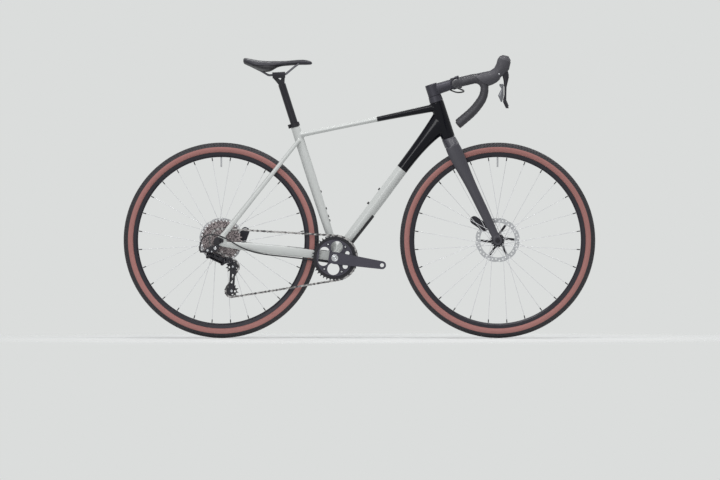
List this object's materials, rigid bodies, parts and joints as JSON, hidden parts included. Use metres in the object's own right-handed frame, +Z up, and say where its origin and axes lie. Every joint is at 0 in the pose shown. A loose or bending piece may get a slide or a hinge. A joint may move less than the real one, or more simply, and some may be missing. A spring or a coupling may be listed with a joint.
{
  "type": "gravel bike",
  "caption": "Drop-bar gravel bicycle with wide treaded tyres, disc brakes, single chainring and rear derailleur; wheels, cranks, steering, levers, seatpost and derailleur move.",
  "frame": {"origin": "on the ground midway between the two axles, in the bike's middle plane", "axes": "+X towards the front wheel, +Y towards the non-drive side, +Z up"},
  "size_m": [1.7038, 0.4752, 1.0193],
  "materials": {
    "frame_paint": "satin",
    "gloss_black_paint": "gloss",
    "fork_paint": "matte",
    "black_alloy": "anodised",
    "grey_alloy": "satin",
    "crank_alloy": "satin",
    "steel": "brushed",
    "spoke_steel": "polished",
    "cassette_steel": "nickel plated",
    "chain_steel": "oiled",
    "tyre": "rubber tread, tan sidewall",
    "hood_rubber": "matte",
    "bar_tape": "matte",
    "saddle_cover": "matte",
    "black_plastic": "matte",
    "cable_plastic": "gloss"
  },
  "bodies": {
    "frame": {"head_tube": "gloss_black_paint", "top_tube": "frame_paint", "down_tube": "frame_paint", "seat_tube": "frame_paint", "bottom_bracket_shell": "frame_paint", "chainstays": "frame_paint", "seatstays": "frame_paint", "dropouts": "frame_paint", "derailleur_hanger": "black_alloy", "seat_clamp": "black_alloy", "headset_bearings": "steel", "bottom_bracket_cups": "black_alloy", "rear_axle": "black_alloy", "rear_brake_caliper": "black_alloy", "bottle_boss_bolts": "steel", "down_tube_guard": "black_plastic", "shift_cable_housing": "cable_plastic", "chain": "chain_steel"},
    "seat": {"seatpost": "black_alloy", "saddle_clamp": "black_alloy", "saddle_rails": "steel", "saddle_base": "black_plastic", "saddle_cover": "saddle_cover"},
    "steering": {"fork": "fork_paint", "steerer_tube": "black_alloy", "headset_stack": "black_alloy", "stem": "black_alloy", "stem_faceplate": "black_alloy", "stem_bolts": "steel", "handlebar": "black_alloy", "bar_tape": "bar_tape", "lever_hoods": "hood_rubber", "front_axle": "black_alloy", "front_brake_caliper": "black_alloy", "control_cables": "cable_plastic"},
    "lever_right": {"brake_lever_right": "black_alloy"},
    "lever_left": {"brake_lever_left": "black_alloy"},
    "paddle": {"shift_paddle": "grey_alloy"},
    "front_wheel": {"front_tyre": "tyre", "front_rim": "black_alloy", "front_spokes": "spoke_steel", "front_hub": "black_alloy", "front_rotor": "steel"},
    "rear_wheel": {"rear_tyre": "tyre", "rear_rim": "black_alloy", "rear_spokes": "spoke_steel", "rear_hub": "black_alloy", "rear_rotor": "steel"},
    "cassette_body": {"cassette": "cassette_steel"},
    "crank": {"crank_arm_right": "crank_alloy", "crank_arm_left": "crank_alloy", "chainring": "black_alloy", "chainring_bolts": "steel"},
    "derailleur_base": {"derailleur_knuckle": "black_alloy"},
    "outer_link": {"derailleur_outer_link": "black_alloy"},
    "inner_link": {"derailleur_inner_link": "black_alloy"},
    "lower_knuckle": {"cage_knuckle": "black_alloy"},
    "cage": {"derailleur_cage": "black_alloy"},
    "guide_wheel": {"guide_pulley": "black_plastic"},
    "tension_wheel": {"tension_pulley": "black_plastic"}
  },
  "joints": [
    {"name": "steering", "type": "hinge", "parent": "frame", "child": "steering", "pos_m": [0.29979, 0, 0.78811], "axis": [-0.309, 0, 0.9511], "range_deg": [-75, 75]},
    {"name": "front_wheel_spin", "type": "hinge", "parent": "steering", "child": "front_wheel", "pos_m": [0.499, 0, 0.353], "axis": [0, 1, 0], "continuous": true},
    {"name": "rear_wheel_spin", "type": "hinge", "parent": "frame", "child": "rear_wheel", "pos_m": [-0.499, 0, 0.353], "axis": [0, 1, 0], "continuous": true},
    {"name": "crank_spin", "type": "hinge", "parent": "frame", "child": "crank", "pos_m": [-0.089, 0, 0.29], "axis": [0, 1, 0], "continuous": true, "deforming": ["chain"]},
    {"name": "cassette_spin", "type": "hinge", "parent": "frame", "child": "cassette_body", "pos_m": [-0.499, 0, 0.353], "axis": [0, 1, 0], "continuous": true, "deforming": ["chain"]},
    {"name": "seatpost_height", "type": "slide", "parent": "frame", "child": "seat", "axis": [-0.304, 0, 0.9527], "range_m": [-0.1, 0.03]},
    {"name": "brake_lever_right", "type": "hinge", "parent": "steering", "child": "lever_right", "pos_m": [0.50994, -0.20782, 0.96223], "axis": [0, 1, 0], "range_deg": [0, 18], "stiffness_Nm_per_rad": 0.6, "springref_deg": -17.19},
    {"name": "brake_lever_left", "type": "hinge", "parent": "steering", "child": "lever_left", "pos_m": [0.50994, 0.20782, 0.96223], "axis": [0, 1, 0], "range_deg": [0, 18], "stiffness_Nm_per_rad": 0.6, "springref_deg": -17.19},
    {"name": "shift_paddle", "type": "hinge", "parent": "lever_right", "child": "paddle", "pos_m": [0.52064, -0.20782, 0.91723], "axis": [1, 0, 0], "range_deg": [0, 25], "stiffness_Nm_per_rad": 0.05, "springref_deg": -22.92},
    {"name": "derailleur_hang", "type": "hinge", "parent": "frame", "child": "derailleur_base", "pos_m": [-0.5215, 0, 0.326], "axis": [0, 1, 0], "range_deg": [0, 30], "stiffness_Nm_per_rad": 0.5, "springref_deg": -28.65, "deforming": ["chain", "shift_cable_housing"]},
    {"name": "derailleur_shift", "type": "hinge", "parent": "derailleur_base", "child": "outer_link", "pos_m": [-0.541, -0.088, 0.306], "axis": [0.1397, 0.5692, 0.8103], "range_deg": [-22, 22], "deforming": ["chain", "shift_cable_housing"]},
    {"name": "inner_link_turn", "type": "hinge", "parent": "derailleur_base", "child": "inner_link", "pos_m": [-0.54852, -0.07777, 0.30011], "axis": [0.1397, 0.5692, 0.8103], "range_deg": [-22, 22], "deforming": ["chain", "shift_cable_housing"]},
    {"name": "lower_knuckle_turn", "type": "hinge", "parent": "outer_link", "child": "lower_knuckle", "pos_m": [-0.488, -0.064, 0.28], "axis": [0.1397, 0.5692, 0.8103], "range_deg": [-22, 22], "deforming": ["chain", "shift_cable_housing"]},
    {"name": "cage_swing", "type": "hinge", "parent": "lower_knuckle", "child": "cage", "pos_m": [-0.47, -0.0435, 0.281], "axis": [0, 1, 0], "range_deg": [-45, 30], "stiffness_Nm_per_rad": 0.5, "deforming": ["chain"]},
    {"name": "guide_pulley_spin", "type": "hinge", "parent": "cage", "child": "guide_wheel", "pos_m": [-0.45746, -0.0435, 0.25879], "axis": [0, 1, 0], "continuous": true, "deforming": ["chain"]},
    {"name": "tension_pulley_spin", "type": "hinge", "parent": "cage", "child": "tension_wheel", "pos_m": [-0.46197, -0.0435, 0.17071], "axis": [0, 1, 0], "continuous": true, "deforming": ["chain"]}
  ],
  "couplings": [
    {"joint": "cassette_spin", "follows": "crank_spin", "ratio": 1.9048},
    {"joint": "guide_pulley_spin", "follows": "crank_spin", "ratio": -3.6364},
    {"joint": "tension_pulley_spin", "follows": "crank_spin", "ratio": 3.6364},
    {"joint": "inner_link_turn", "follows": "derailleur_shift", "ratio": 1},
    {"joint": "lower_knuckle_turn", "follows": "derailleur_shift", "ratio": -1}
  ]
}
